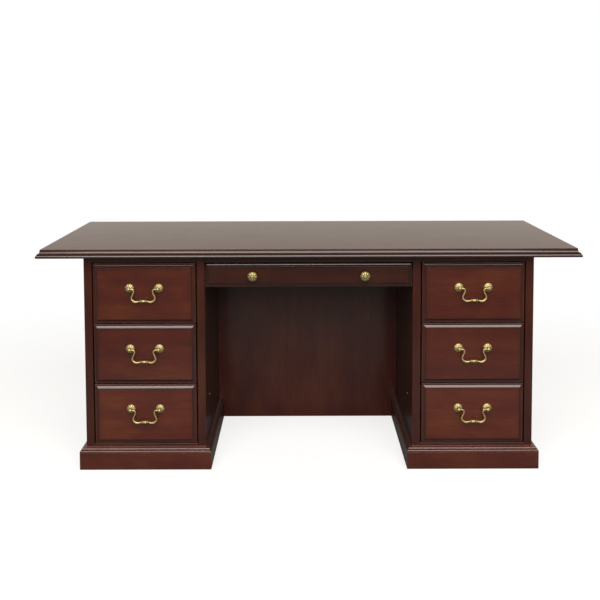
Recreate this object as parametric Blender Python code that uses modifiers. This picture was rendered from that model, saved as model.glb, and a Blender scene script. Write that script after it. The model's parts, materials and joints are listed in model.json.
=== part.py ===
"""Kneehole credenza: a moulded top on two drawer pedestals, with a shallow centre drawer.

Lengths are in metres, +Z is up and the front faces -Y. The origin lies on the floor under the
middle of the top. Left and right are as seen from the front. Each drawer hangs from an empty,
which moves along -Y to open it, and each bail has its origin on the line through its two eyes.
"""

import math

import bmesh
import bpy
from mathutils import Matrix, Vector

# Overall sizes
TOP_WIDTH = 1.829
TOP_DEPTH = 0.610
DESK_HEIGHT = 0.762

# Moulded edge of the top, from the underside up
TOP_THICKNESS = 0.029
NOSE_UNDER_WIDTH = 0.0035
NOSE_UNDER_HEIGHT = 0.0045
NOSE_FLAT = 0.001
TOP_BEAD_RADIUS = 0.008
TOP_BEAD_TILTS = (10, 50)
TOP_HOLLOW_RADIUS = 0.014
TOP_HOLLOW_TILTS = (75, 15)
TOP_FACE_LEAN = 0.001
TOP_ARRIS = 0.0015

# How far the top reaches past the pedestals
SIDE_OVERHANG = 0.150
FRONT_OVERHANG = 0.040
BACK_OVERHANG = 0.040

# Pedestal cases
PEDESTAL_WIDTH = 0.411
PANEL_THICKNESS = 0.019
BACK_THICKNESS = 0.012
FRAME_THICKNESS = 0.020
STILE_REVEAL = 0.008
TOP_RAIL_HEIGHT = 0.0217
BOTTOM_RAIL_REVEAL = 0.0085

# Plinth and its moulded cap, from the outside in
PLINTH_HEIGHT = 0.060
PLINTH_THICKNESS = 0.019
CAP_FLAT = 0.001
CAP_BEAD_WIDTH = 0.004
CAP_BEAD_HEIGHT = 0.0045
CAP_LEDGE = 0.001
CAP_RISER = 0.0008
CAP_ROUND = 0.006
CAP_COVE_HEIGHT = 0.0017
CAP_LIP = 0.002

# Drawer fronts
DRAWER_LEVELS = ("lower", "middle", "upper")
FRONT_THICKNESS = 0.022
FRONT_GAP = 0.003
FRONT_SIDE_GAP = 0.0045
FRONT_ARRIS = 0.001
FRONT_STRIP = 0.005
FRONT_COVE_WIDTH = 0.0075
FIELD_RISE = 0.005

# Pedestal drawer boxes and the frames they run on
BOX_WALL = 0.012
BOX_BOTTOM = 0.006
BOX_BOTTOM_RECESS = 0.008
BOX_SIDE_CLEARANCE = 0.0055
BOX_BACK_CLEARANCE = 0.020
BOX_HEADROOM = 0.027
RUNNER_THICKNESS = 0.016
RUNNER_RISE = 0.010
RUNNER_RAIL_WIDTH = 0.050
GUIDE_HEIGHT = 0.012
GUIDE_CLEARANCE = 0.001

# Centre drawer, the rail over it and the runners beside it
CENTRE_RAIL_HEIGHT = 0.0235
CENTRE_FRONT_HEIGHT = 0.0795
CENTRE_BOX_RISE = 0.013
CENTRE_BOX_HEADROOM = 0.0115
CENTRE_BOX_BACK_CLEARANCE = 0.048
CENTRE_RUNNER_WALL = 0.010
CENTRE_RUNNER_LEDGE = 0.012
CENTRE_RUNNER_HEIGHT = 0.040

# Modesty panel, let in from the back of the pedestals
MODESTY_RECESS = 0.107
MODESTY_THICKNESS = 0.018

# Cover caps on the kneehole sides
COVER_CAP_DIAMETER = 0.008
COVER_CAP_HEIGHT = 0.0025
COVER_CAP_SETBACK = 0.097
COVER_CAP_LEVEL = 0.218

# Brass pulls: a rosette with a round eye at each end, and a bail between them
PULL_SPAN = 0.099
PULL_RISE = 0.019
ROSETTE_DIAMETER = 0.031
ROSETTE_RIM = 0.0022
ROSETTE_HEIGHT = 0.0075
POST_NECK_LENGTH = 0.0039
EYE_WALL = 0.0029
EYE_SHOULDER = 0.0018
BAIL_DIAMETER = 0.0055
PIN_DIAMETER = 0.0046
PIN_CLEARANCE = 0.0004
PIN_END = 0.003
BAIL_SHOULDER = 0.0045
BAIL_NECK_DROP = 0.005
BAIL_BULGE_INSET = 0.0076
BAIL_BULGE_DROP = 0.027
BAIL_FOOT_INSET = 0.0185
BAIL_FOOT_DROP = 0.0413
BAIL_DROP = 0.0425
GRIP_LENGTH = 0.027
GRIP_DIAMETER = 0.0076

# Brass knobs of the centre drawer
KNOB_SPACING = 0.380
KNOB_DIAMETER = 0.0344
KNOB_PROJECTION = 0.026
KNOB_BASE_DIAMETER = 0.018
KNOB_BASE_HEIGHT = 0.004
KNOB_NECK_DIAMETER = 0.012
KNOB_CROWN = 0.009

# Screw shanks of posts and knobs, and the wood left behind their holes in the drawer fronts
SHANK_DIAMETER = 0.0045
SHANK_COVER = 0.007
SHANK_CLEARANCE = 0.0004

# Fits and edges
JOINT_GAP = 0.0003
EDGE_EASE = 0.001
CUT_OVERRUN = 0.005
WELD_DISTANCE = 1e-5

# Facets
CURVE_STEPS = 4
ROUND_STEPS = 14
HOLE_SIDES = 10
BALL_STEPS = 5
BAIL_STEPS = 3

# Places that follow from the sizes
TOP_UNDERSIDE = DESK_HEIGHT - TOP_THICKNESS
CASE_TOP = TOP_UNDERSIDE - JOINT_GAP
CASE_FRONT = -TOP_DEPTH / 2 + FRONT_OVERHANG
CASE_BACK = TOP_DEPTH / 2 - BACK_OVERHANG
CASE_INSIDE_WIDTH = PEDESTAL_WIDTH - 2 * PANEL_THICKNESS
CASE_INSIDE_FRONT = CASE_FRONT + FRAME_THICKNESS + JOINT_GAP
CASE_INSIDE_BACK = CASE_BACK - BACK_THICKNESS - JOINT_GAP
KNEEHOLE_HALF = TOP_WIDTH / 2 - SIDE_OVERHANG - PEDESTAL_WIDTH
PEDESTAL_CENTRE = KNEEHOLE_HALF + PEDESTAL_WIDTH / 2
CAP_BASE = PLINTH_HEIGHT + JOINT_GAP
CAP_TOP = CAP_BASE + CAP_FLAT + CAP_BEAD_HEIGHT + CAP_RISER + CAP_ROUND + CAP_COVE_HEIGHT
OPENING_WIDTH = CASE_INSIDE_WIDTH - 2 * STILE_REVEAL
OPENING_BOTTOM = CAP_TOP + BOTTOM_RAIL_REVEAL
OPENING_TOP = TOP_UNDERSIDE - TOP_RAIL_HEIGHT
FRONT_BACK = FRONT_THICKNESS - FIELD_RISE
DRAWER_PITCH = (OPENING_TOP - OPENING_BOTTOM - FRONT_GAP) / len(DRAWER_LEVELS)
DRAWER_FRONT_HEIGHT = DRAWER_PITCH - FRONT_GAP
BOX_FRONT = CASE_FRONT + FRONT_BACK + JOINT_GAP
BOX_WIDTH = OPENING_WIDTH - 2 * BOX_SIDE_CLEARANCE
BOX_DEPTH = CASE_INSIDE_BACK - BOX_BACK_CLEARANCE - BOX_FRONT
BOX_HEIGHT = DRAWER_PITCH - RUNNER_THICKNESS - JOINT_GAP - BOX_HEADROOM
MODESTY_FRONT = CASE_BACK - MODESTY_RECESS - MODESTY_THICKNESS
CENTRE_FRONT_TOP = TOP_UNDERSIDE - CENTRE_RAIL_HEIGHT - FRONT_GAP
CENTRE_BOX_FLOOR = CENTRE_FRONT_TOP - CENTRE_FRONT_HEIGHT + CENTRE_BOX_RISE
CENTRE_BOX_HEIGHT = CENTRE_FRONT_HEIGHT - CENTRE_BOX_RISE - CENTRE_BOX_HEADROOM
CENTRE_BOX_DEPTH = MODESTY_FRONT - CENTRE_BOX_BACK_CLEARANCE - BOX_FRONT
SHANK_LENGTH = FRONT_THICKNESS - SHANK_COVER
EYE_RADIUS = PIN_DIAMETER / 2 + PIN_CLEARANCE + EYE_WALL
POST_NECK_RADIUS = EYE_RADIUS - EYE_SHOULDER
PIVOT_STANDOFF = ROSETTE_HEIGHT + POST_NECK_LENGTH + math.sqrt(EYE_RADIUS**2 - POST_NECK_RADIUS**2)
UPRIGHT = (math.radians(90), 0, 0)


def clear_scene():
    for obj in list(bpy.data.objects):
        bpy.data.objects.remove(obj)


def new_collection(name):
    collection = bpy.data.collections.new(name)
    bpy.context.scene.collection.children.link(collection)
    return collection


def new_material(name, colour, roughness, metallic):
    material = bpy.data.materials.new(name)
    material.use_nodes = True
    shader = material.node_tree.nodes["Principled BSDF"]
    shader.inputs["Base Color"].default_value = (*colour, 1.0)
    shader.inputs["Roughness"].default_value = roughness
    shader.inputs["Metallic"].default_value = metallic
    material.diffuse_color = (*colour, 1.0)
    return material


clear_scene()
PARTS = new_collection("Kneehole credenza")
CUTTERS = new_collection("Cutters")
MAHOGANY = new_material("mahogany", (0.066, 0.017, 0.012), 0.32, 0.0)
DRAWER_WOOD = new_material("drawer wood", (0.50, 0.34, 0.19), 0.55, 0.0)
BRASS = new_material("antique brass", (0.52, 0.37, 0.15), 0.34, 1.0)
DARK_CAP = new_material("cover cap", (0.16, 0.08, 0.05), 0.45, 0.0)


def add_part(name, data, material, location=(0, 0, 0), rotation=(0, 0, 0), parent=None):
    obj = bpy.data.objects.new(name, data)
    data.materials.append(material)
    obj.location = location
    obj.rotation_euler = rotation
    obj.parent = parent
    PARTS.objects.link(obj)
    return obj


def add_empty(name, location):
    empty = bpy.data.objects.new(name, None)
    empty.location = location
    PARTS.objects.link(empty)
    return empty


def mesh_of(bm, name):
    bmesh.ops.recalc_face_normals(bm, faces=bm.faces)
    mesh = bpy.data.meshes.new(name)
    bm.to_mesh(mesh)
    bm.free()
    return mesh


def cuboid(size, centre=(0, 0, 0)):
    bm = bmesh.new()
    matrix = Matrix.Translation(centre) @ Matrix.Diagonal((*size, 1))
    bmesh.ops.create_cube(bm, size=1, matrix=matrix)
    return bm


def add_board(name, low, high):
    """Plain board between two corners, with its edges eased."""
    middle = [(a + b) / 2 for a, b in zip(low, high)]
    size = [b - a for a, b in zip(low, high)]
    ease_edges(add_part(name, mesh_of(cuboid(size), name), MAHOGANY, middle))


def ease_edges(obj):
    bevel = obj.modifiers.new("eased edges", "BEVEL")
    bevel.width = EDGE_EASE
    bevel.segments = 1
    bevel.limit_method = "ANGLE"


def farthest_face(bm, direction):
    return max(bm.faces, key=lambda face: face.calc_center_median().dot(Vector(direction)))


def mould(bm, direction, steps):
    """Insets the face that looks along direction, in steps of a length inward and a length outward."""
    bm.normal_update()
    face = farthest_face(bm, direction)
    for inward, outward in steps:
        bmesh.ops.inset_region(bm, faces=[face], thickness=inward, depth=outward, use_even_offset=True)


def quarter_angles():
    return [math.pi / 2 * step / CURVE_STEPS for step in range(CURVE_STEPS + 1)]


def steps_between(points):
    return [(b[0] - a[0], b[1] - a[1]) for a, b in zip(points, points[1:])]


def cove(width, height):
    """Hollow quarter round, flat at its outer end and upright at its inner end."""
    return steps_between([(width * math.sin(a), height * (1 - math.cos(a))) for a in quarter_angles()])


def ovolo(width, height):
    """Full quarter round, upright at its outer end and flat at its inner end."""
    return steps_between([(width * (1 - math.cos(a)), height * math.sin(a)) for a in quarter_angles()])


def bend(radius, start, end):
    """Round arc between two tilts of its face, in degrees back from upright: hollow where the tilt falls."""
    angles = [math.radians(start + (end - start) * step / CURVE_STEPS) for step in range(CURVE_STEPS + 1)]
    first = angles[0]
    return steps_between(
        [
            (radius * abs(math.cos(a) - math.cos(first)), radius * abs(math.sin(a) - math.sin(first)))
            for a in angles
        ]
    )


def rectangle(half_width, low, high):
    return [(-half_width, low), (half_width, low), (half_width, high), (-half_width, high)]


def plate_mesh(name, outlines, thickness):
    """Plate of the given thickness, centred on the XY plane, whose later outlines are holes in the first."""
    curve = bpy.data.curves.new(name, "CURVE")
    curve.dimensions = "2D"
    curve.fill_mode = "BOTH"
    curve.extrude = thickness / 2
    for outline in outlines:
        spline = curve.splines.new("POLY")
        spline.points.add(len(outline) - 1)
        spline.use_cyclic_u = True
        for point, (x, y) in zip(spline.points, outline):
            point.co = (x, y, 0, 1)
    guide = bpy.data.objects.new(name, curve)
    PARTS.objects.link(guide)
    graph = bpy.context.evaluated_depsgraph_get()
    mesh = bpy.data.meshes.new_from_object(guide.evaluated_get(graph))
    bpy.data.objects.remove(guide)
    bm = bmesh.new()
    bm.from_mesh(mesh)
    bmesh.ops.remove_doubles(bm, verts=bm.verts, dist=WELD_DISTANCE)
    return mesh_of(bm, name)


def add_cutter(name, mesh, location, rotation=(0, 0, 0), parent=None):
    cutter = bpy.data.objects.new(name, mesh)
    cutter.location = location
    cutter.rotation_euler = rotation
    cutter.parent = parent
    cutter.hide_render = True
    cutter.display_type = "WIRE"
    CUTTERS.objects.link(cutter)
    return cutter


def cut(obj, cutter):
    boolean = obj.modifiers.new("cut", "BOOLEAN")
    boolean.operation = "DIFFERENCE"
    boolean.object = cutter


def rod_mesh(name, diameter, length):
    bm = bmesh.new()
    bmesh.ops.create_cone(
        bm, cap_ends=True, segments=HOLE_SIDES, radius1=diameter / 2, radius2=diameter / 2, depth=length
    )
    return mesh_of(bm, name)


def add_turned(name, profile, material, location, rotation, parent=None):
    """Turned piece: its profile of (radius, height) points runs from the tip down its outer side."""
    mesh = bpy.data.meshes.new(name)
    points = [(radius, 0, height) for radius, height in profile]
    edges = [(i, i + 1) for i in range(len(points) - 1)]
    mesh.from_pydata(points, edges, [])
    obj = add_part(name, mesh, material, location, rotation, parent)
    screw = obj.modifiers.new("turned", "SCREW")
    screw.axis = "Z"
    screw.steps = ROUND_STEPS
    screw.render_steps = ROUND_STEPS
    screw.use_merge_vertices = True
    screw.merge_threshold = WELD_DISTANCE
    screw.use_smooth_shade = True
    return obj


# Desk top

def build_top():
    """Slab whose edge has a bead at the bottom, then a hollow, then a steep face with a soft arris."""
    bm = cuboid((TOP_WIDTH, TOP_DEPTH, NOSE_FLAT), (0, 0, NOSE_UNDER_HEIGHT + NOSE_FLAT / 2))
    mould(bm, (0, 0, -1), ovolo(NOSE_UNDER_WIDTH, NOSE_UNDER_HEIGHT))
    curves = bend(TOP_BEAD_RADIUS, *TOP_BEAD_TILTS) + bend(TOP_HOLLOW_RADIUS, *TOP_HOLLOW_TILTS)
    curves_height = sum(up for _, up in curves)
    face_height = TOP_THICKNESS - NOSE_UNDER_HEIGHT - NOSE_FLAT - curves_height - TOP_ARRIS
    mould(bm, (0, 0, 1), curves + [(TOP_FACE_LEAN, face_height)] + ovolo(TOP_ARRIS, TOP_ARRIS))
    add_part("desk_top", mesh_of(bm, "desk_top"), MAHOGANY, (0, 0, TOP_UNDERSIDE))


# Pedestals

def cap_steps():
    """The cap's profile as steps inward and up from the outer edge of its flat."""
    bead = ovolo(CAP_BEAD_WIDTH, CAP_BEAD_HEIGHT) + [(CAP_LEDGE, 0), (0, CAP_RISER)]
    cove_width = PLINTH_THICKNESS - CAP_BEAD_WIDTH - CAP_LEDGE - CAP_ROUND - CAP_LIP
    return bead + ovolo(CAP_ROUND, CAP_ROUND) + cove(cove_width, CAP_COVE_HEIGHT)


def case_outline(margin):
    half = PEDESTAL_WIDTH / 2 + margin
    return rectangle(half, CASE_FRONT - margin, CASE_BACK + margin)


def build_plinth(side, centre):
    """Frame of four boards round the foot of the case, and the moulded cap that lies on it."""
    name = f"{side}_plinth"
    ring = plate_mesh(name, [case_outline(PLINTH_THICKNESS), case_outline(JOINT_GAP)], PLINTH_HEIGHT)
    ease_edges(add_part(name, ring, MAHOGANY, (centre, 0, PLINTH_HEIGHT / 2)))

    depth = CASE_BACK - CASE_FRONT
    place = (centre, (CASE_BACK + CASE_FRONT) / 2, CAP_BASE)
    outer = (PEDESTAL_WIDTH + 2 * PLINTH_THICKNESS, depth + 2 * PLINTH_THICKNESS, CAP_FLAT)
    bm = cuboid(outer, (0, 0, CAP_FLAT / 2))
    mould(bm, (0, 0, 1), cap_steps())
    cap = add_part(f"{name}_cap", mesh_of(bm, f"{name}_cap"), MAHOGANY, place)
    hole = (PEDESTAL_WIDTH + 2 * JOINT_GAP, depth + 2 * JOINT_GAP, CAP_TOP)
    core = mesh_of(cuboid(hole), f"{side}_case_core")
    cut(cap, add_cutter(f"{side}_case_core", core, place))


def build_runner(name, centre, top, open_middle):
    """Level board with a raised guide along each side, and an open middle where it is a frame."""
    half = CASE_INSIDE_WIDTH / 2 - JOINT_GAP
    guide_half = BOX_WIDTH / 2 + GUIDE_CLEARANCE
    section = [
        (-half, -RUNNER_THICKNESS),
        (half, -RUNNER_THICKNESS),
        (half, GUIDE_HEIGHT),
        (guide_half, GUIDE_HEIGHT),
        (guide_half, 0),
        (-guide_half, 0),
        (-guide_half, GUIDE_HEIGHT),
        (-half, GUIDE_HEIGHT),
    ]
    length = CASE_INSIDE_BACK - CASE_INSIDE_FRONT
    middle = (CASE_INSIDE_BACK + CASE_INSIDE_FRONT) / 2
    mesh = plate_mesh(name, [section], length)
    runner = add_part(name, mesh, DRAWER_WOOD, (centre, middle, top), UPRIGHT)
    if open_middle:
        size = (
            2 * (guide_half - RUNNER_RAIL_WIDTH),
            length - 2 * RUNNER_RAIL_WIDTH,
            2 * (RUNNER_THICKNESS + CUT_OVERRUN),
        )
        window = mesh_of(cuboid(size), f"{name}_window")
        cut(runner, add_cutter(f"{name}_window", window, (centre, middle, top)))


def drawer_bottom(level):
    """Height of the lower edge of a drawer front, counting levels from the bottom."""
    return OPENING_BOTTOM + FRONT_GAP + level * DRAWER_PITCH


def build_pedestal(side, sign):
    centre = sign * PEDESTAL_CENTRE
    frame = plate_mesh(
        f"{side}_face_frame",
        [
            rectangle(PEDESTAL_WIDTH / 2, 0, CASE_TOP),
            rectangle(OPENING_WIDTH / 2, OPENING_BOTTOM, OPENING_TOP),
        ],
        FRAME_THICKNESS,
    )
    frame_middle = CASE_FRONT + FRAME_THICKNESS / 2
    ease_edges(add_part(f"{side}_face_frame", frame, MAHOGANY, (centre, frame_middle, 0), UPRIGHT))

    for place, towards in (("outer", sign), ("inner", -sign)):
        edge = centre + towards * PEDESTAL_WIDTH / 2
        inside = edge - towards * PANEL_THICKNESS
        low = (min(edge, inside), CASE_INSIDE_FRONT, 0)
        high = (max(edge, inside), CASE_BACK, CASE_TOP)
        add_board(f"{side}_{place}_side", low, high)

    half = CASE_INSIDE_WIDTH / 2 - JOINT_GAP
    low = (centre - half, CASE_BACK - BACK_THICKNESS, 0)
    add_board(f"{side}_back", low, (centre + half, CASE_BACK, CASE_TOP))

    runner_names = (f"{side}_bottom", f"{side}_lower_runner_frame", f"{side}_upper_runner_frame")
    for level, name in enumerate(runner_names):
        build_runner(name, centre, drawer_bottom(level) + RUNNER_RISE, level > 0)
    build_plinth(side, centre)


# Drawers

def build_front(name, width, height, parent, hole_places):
    """Front with a flat strip round its edge, a hollow up to the raised field, and blind screw holes."""
    thickness = FRONT_BACK - FRONT_ARRIS
    bm = cuboid((width, thickness, height), (0, FRONT_ARRIS + thickness / 2, 0))
    rim = [(FRONT_ARRIS, FRONT_ARRIS), (FRONT_STRIP, 0)]
    mould(bm, (0, -1, 0), rim + cove(FRONT_COVE_WIDTH, FIELD_RISE))
    front = add_part(name, mesh_of(bm, name), MAHOGANY, parent=parent)
    depth = SHANK_LENGTH + SHANK_CLEARANCE
    for number, (x, z) in enumerate(hole_places):
        drill = rod_mesh(f"{name}_drill_{number}", SHANK_DIAMETER + 2 * SHANK_CLEARANCE, depth + CUT_OVERRUN)
        middle = -FIELD_RISE + (depth - CUT_OVERRUN) / 2
        cut(front, add_cutter(f"{name}_drill_{number}", drill, (x, middle, z), UPRIGHT, parent))


def build_box(name, size, floor, parent):
    """Open box behind a front: four walls, and a bottom let in above the lower edges of the walls."""
    width, depth, height = size
    middle = FRONT_BACK + JOINT_GAP + depth / 2
    bm = cuboid(size, (0, middle, floor + height / 2))
    inside = height - BOX_BOTTOM - BOX_BOTTOM_RECESS
    mould(bm, (0, 0, 1), [(BOX_WALL, 0), (0, -inside)])
    mould(bm, (0, 0, -1), [(BOX_WALL, 0), (0, -BOX_BOTTOM_RECESS)])
    add_part(name, mesh_of(bm, name), DRAWER_WOOD, parent=parent)


def shank_profile():
    return [(SHANK_DIAMETER / 2, 0), (SHANK_DIAMETER / 2, -SHANK_LENGTH), (0, -SHANK_LENGTH)]


def post_profile():
    """Ball eye on a short neck, which spreads into the domed rosette that lies on the front."""
    ball_end = math.pi - math.asin(POST_NECK_RADIUS / EYE_RADIUS)
    ball = []
    for step in range(BALL_STEPS + 1):
        angle = ball_end * step / BALL_STEPS
        ball.append((EYE_RADIUS * math.sin(angle), PIVOT_STANDOFF + EYE_RADIUS * math.cos(angle)))
    rim = ROSETTE_DIAMETER / 2
    spread = rim - POST_NECK_RADIUS
    swell = ROSETTE_HEIGHT - ROSETTE_RIM
    dome = [
        (POST_NECK_RADIUS + spread * math.sin(a), ROSETTE_RIM + swell * math.cos(a)) for a in quarter_angles()
    ]
    return ball + dome + [(rim, 0)] + shank_profile()


def build_post(name, x, parent):
    """Post with its rosette, and an eye drilled along X for the end of the bail."""
    field = -FIELD_RISE - JOINT_GAP
    post = add_turned(name, post_profile(), BRASS, (x, field, PULL_RISE), UPRIGHT, parent)
    drill = rod_mesh(f"{name}_drill", PIN_DIAMETER + 2 * PIN_CLEARANCE, 2 * (EYE_RADIUS + CUT_OVERRUN))
    place = (x, field - PIVOT_STANDOFF, PULL_RISE)
    cut(post, add_cutter(f"{name}_drill", drill, place, (0, math.radians(90), 0), parent))


def bail_points():
    """Half of the bail, from its pin to the middle of its grip, as (across, up, diameter)."""
    end = PULL_SPAN / 2
    shoulder = end - 2 * EYE_RADIUS
    return [
        (end + PIN_END, 0, PIN_DIAMETER),
        (shoulder, 0, PIN_DIAMETER),
        (shoulder - BAIL_SHOULDER, -BAIL_NECK_DROP, BAIL_DIAMETER),
        (end - BAIL_BULGE_INSET, -BAIL_BULGE_DROP, BAIL_DIAMETER),
        (end - BAIL_FOOT_INSET, -BAIL_FOOT_DROP, BAIL_DIAMETER),
        (GRIP_LENGTH / 2, -BAIL_DROP, BAIL_DIAMETER),
        (0, -BAIL_DROP, GRIP_DIAMETER),
    ]


def build_bail(name, parent):
    half = bail_points()
    points = half + [(-x, z, diameter) for x, z, diameter in reversed(half[:-1])]
    curve = bpy.data.curves.new(name, "CURVE")
    curve.dimensions = "3D"
    curve.resolution_u = BAIL_STEPS
    curve.bevel_depth = BAIL_DIAMETER / 2
    curve.bevel_resolution = 2
    curve.use_fill_caps = True
    spline = curve.splines.new("BEZIER")
    spline.bezier_points.add(len(points) - 1)
    for point, (x, z, diameter) in zip(spline.bezier_points, points):
        point.co = (x, z, 0)
        point.radius = diameter / BAIL_DIAMETER
        point.handle_left_type = "AUTO"
        point.handle_right_type = "AUTO"
    reach = Vector((BAIL_SHOULDER, 0, 0))
    for end, beside in ((0, 1), (-1, -2)):
        spline.bezier_points[end].handle_left_type = "VECTOR"
        spline.bezier_points[end].handle_right_type = "VECTOR"
        shoulder = spline.bezier_points[beside]
        shoulder.handle_left_type = "FREE"
        shoulder.handle_right_type = "FREE"
        shoulder.handle_left = shoulder.co + reach
        shoulder.handle_right = shoulder.co - reach
    pivot = (0, -FIELD_RISE - JOINT_GAP - PIVOT_STANDOFF, PULL_RISE)
    add_part(name, curve, BRASS, pivot, UPRIGHT, parent)


def build_pedestal_drawer(side, sign, level):
    name = f"{side}_{DRAWER_LEVELS[level]}_drawer"
    middle = drawer_bottom(level) + DRAWER_FRONT_HEIGHT / 2
    drawer = add_empty(name, (sign * PEDESTAL_CENTRE, CASE_FRONT, middle))
    ends = (("left", -PULL_SPAN / 2), ("right", PULL_SPAN / 2))
    holes = [(x, PULL_RISE) for _, x in ends]
    build_front(f"{name}_front", OPENING_WIDTH - 2 * FRONT_SIDE_GAP, DRAWER_FRONT_HEIGHT, drawer, holes)
    floor = RUNNER_RISE + JOINT_GAP - DRAWER_FRONT_HEIGHT / 2
    build_box(f"{name}_box", (BOX_WIDTH, BOX_DEPTH, BOX_HEIGHT), floor, drawer)
    for end, x in ends:
        build_post(f"{name}_{end}_post", x, drawer)
    build_bail(f"{name}_bail", drawer)


# Kneehole and centre drawer

def knob_profile():
    """Domed head on a waisted neck with a small foot, from the tip down."""
    radius = KNOB_DIAMETER / 2
    rim_level = KNOB_PROJECTION - KNOB_CROWN
    head = [(radius * math.sin(a), rim_level + KNOB_CROWN * math.cos(a)) for a in quarter_angles()]
    neck_level = (rim_level + KNOB_BASE_HEIGHT) / 2
    foot = [
        (KNOB_NECK_DIAMETER / 2, neck_level),
        (KNOB_BASE_DIAMETER / 2, KNOB_BASE_HEIGHT),
        (KNOB_BASE_DIAMETER / 2, 0),
    ]
    return head + foot + shank_profile()


def build_centre_drawer():
    middle = CENTRE_FRONT_TOP - CENTRE_FRONT_HEIGHT / 2
    drawer = add_empty("centre_drawer", (0, CASE_FRONT, middle))
    ends = (("left", -KNOB_SPACING / 2), ("right", KNOB_SPACING / 2))
    holes = [(x, 0) for _, x in ends]
    build_front("centre_drawer_front", 2 * (KNEEHOLE_HALF - FRONT_GAP), CENTRE_FRONT_HEIGHT, drawer, holes)
    width = 2 * (KNEEHOLE_HALF - CENTRE_RUNNER_WALL - JOINT_GAP - GUIDE_CLEARANCE)
    size = (width, CENTRE_BOX_DEPTH, CENTRE_BOX_HEIGHT)
    build_box("centre_drawer_box", size, CENTRE_BOX_FLOOR - middle, drawer)
    for end, x in ends:
        place = (x, -FIELD_RISE - JOINT_GAP, 0)
        add_turned(f"centre_drawer_{end}_knob", knob_profile(), BRASS, place, UPRIGHT, drawer)


def build_centre_runner(side, sign):
    """Rail of L section on the kneehole side, whose ledge carries the edge of the centre drawer's box."""
    wall = -sign * CENTRE_RUNNER_WALL
    ledge = -sign * (CENTRE_RUNNER_WALL + CENTRE_RUNNER_LEDGE)
    section = [
        (0, -CENTRE_RUNNER_WALL),
        (ledge, -CENTRE_RUNNER_WALL),
        (ledge, 0),
        (wall, 0),
        (wall, CENTRE_RUNNER_HEIGHT),
        (0, CENTRE_RUNNER_HEIGHT),
    ]
    name = f"centre_{side}_runner"
    back = MODESTY_FRONT - JOINT_GAP
    mesh = plate_mesh(name, [section], back - CASE_INSIDE_FRONT)
    place = (sign * (KNEEHOLE_HALF - JOINT_GAP), (back + CASE_INSIDE_FRONT) / 2, CENTRE_BOX_FLOOR - JOINT_GAP)
    add_part(name, mesh, DRAWER_WOOD, place, UPRIGHT)


def build_kneehole():
    half = KNEEHOLE_HALF - JOINT_GAP
    low = (-half, CASE_FRONT, TOP_UNDERSIDE - CENTRE_RAIL_HEIGHT)
    add_board("kneehole_rail", low, (half, CASE_FRONT + FRAME_THICKNESS, CASE_TOP))

    across = KNEEHOLE_HALF - PLINTH_THICKNESS - JOINT_GAP
    height = CAP_BASE + CAP_FLAT + JOINT_GAP
    edge = [(across, 0), (across, height)]
    for inward, up in cap_steps():
        across += inward
        height += up
        edge.append((across, height))
    edge += [(half, height), (half, CASE_TOP)]
    outline = edge + [(-x, z) for x, z in reversed(edge)]
    mesh = plate_mesh("modesty_panel", [outline], MODESTY_THICKNESS)
    middle = MODESTY_FRONT + MODESTY_THICKNESS / 2
    add_part("modesty_panel", mesh, MAHOGANY, (0, middle, 0), UPRIGHT)

    radius = COVER_CAP_DIAMETER / 2
    dome = [(radius * math.sin(a), COVER_CAP_HEIGHT * math.cos(a)) for a in quarter_angles()]
    for side, sign in (("left", -1), ("right", 1)):
        build_centre_runner(side, sign)
        place = (sign * (KNEEHOLE_HALF - JOINT_GAP), CASE_FRONT + COVER_CAP_SETBACK, COVER_CAP_LEVEL)
        turn = (0, -sign * math.radians(90), 0)
        add_turned(f"kneehole_{side}_cover_cap", dome + [(0, 0)], DARK_CAP, place, turn)


build_top()
for side_name, side_sign in (("left", -1), ("right", 1)):
    build_pedestal(side_name, side_sign)
    for drawer_level in range(len(DRAWER_LEVELS)):
        build_pedestal_drawer(side_name, side_sign, drawer_level)
build_kneehole()
build_centre_drawer()
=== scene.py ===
"""Looks of the kneehole credenza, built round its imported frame.

Lengths are in metres, +Z is up and the drawers face -Y. Left and right are as seen from the front.
"""

import json
import math

import bmesh
import bpy
import numpy as np
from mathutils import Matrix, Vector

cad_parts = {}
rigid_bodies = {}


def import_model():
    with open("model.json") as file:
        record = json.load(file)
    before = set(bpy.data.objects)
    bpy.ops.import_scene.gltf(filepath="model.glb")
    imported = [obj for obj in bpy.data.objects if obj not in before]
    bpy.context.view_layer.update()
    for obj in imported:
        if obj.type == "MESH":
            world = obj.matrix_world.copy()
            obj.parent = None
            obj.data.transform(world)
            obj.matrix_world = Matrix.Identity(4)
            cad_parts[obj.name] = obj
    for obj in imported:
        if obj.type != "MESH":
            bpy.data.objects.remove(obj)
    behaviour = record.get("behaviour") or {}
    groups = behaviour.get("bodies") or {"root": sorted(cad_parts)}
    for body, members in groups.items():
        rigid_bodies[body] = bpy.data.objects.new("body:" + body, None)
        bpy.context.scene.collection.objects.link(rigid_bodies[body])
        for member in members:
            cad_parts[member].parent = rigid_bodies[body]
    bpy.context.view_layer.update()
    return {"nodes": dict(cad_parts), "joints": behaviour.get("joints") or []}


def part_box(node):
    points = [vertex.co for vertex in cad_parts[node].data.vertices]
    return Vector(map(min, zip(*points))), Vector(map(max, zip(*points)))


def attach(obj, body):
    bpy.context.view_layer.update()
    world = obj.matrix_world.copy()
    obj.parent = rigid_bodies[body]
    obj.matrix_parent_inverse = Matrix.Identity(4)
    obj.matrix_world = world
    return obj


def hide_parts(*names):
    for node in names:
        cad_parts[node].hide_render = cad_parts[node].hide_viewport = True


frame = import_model()


# Desk top: a veneered slab with a solid edge moulding, mitred at the four corners. From the underside
# up the edge has a rounded nose, a bead, a fillet, a hollow, a steep face and a soft arris. The slab is
# screwed to the cases from below and takes the same stain and satin lacquer as they do. Its moulded
# edge is darkened below the arris, with painted shade in the fillet and under the nose.

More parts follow.
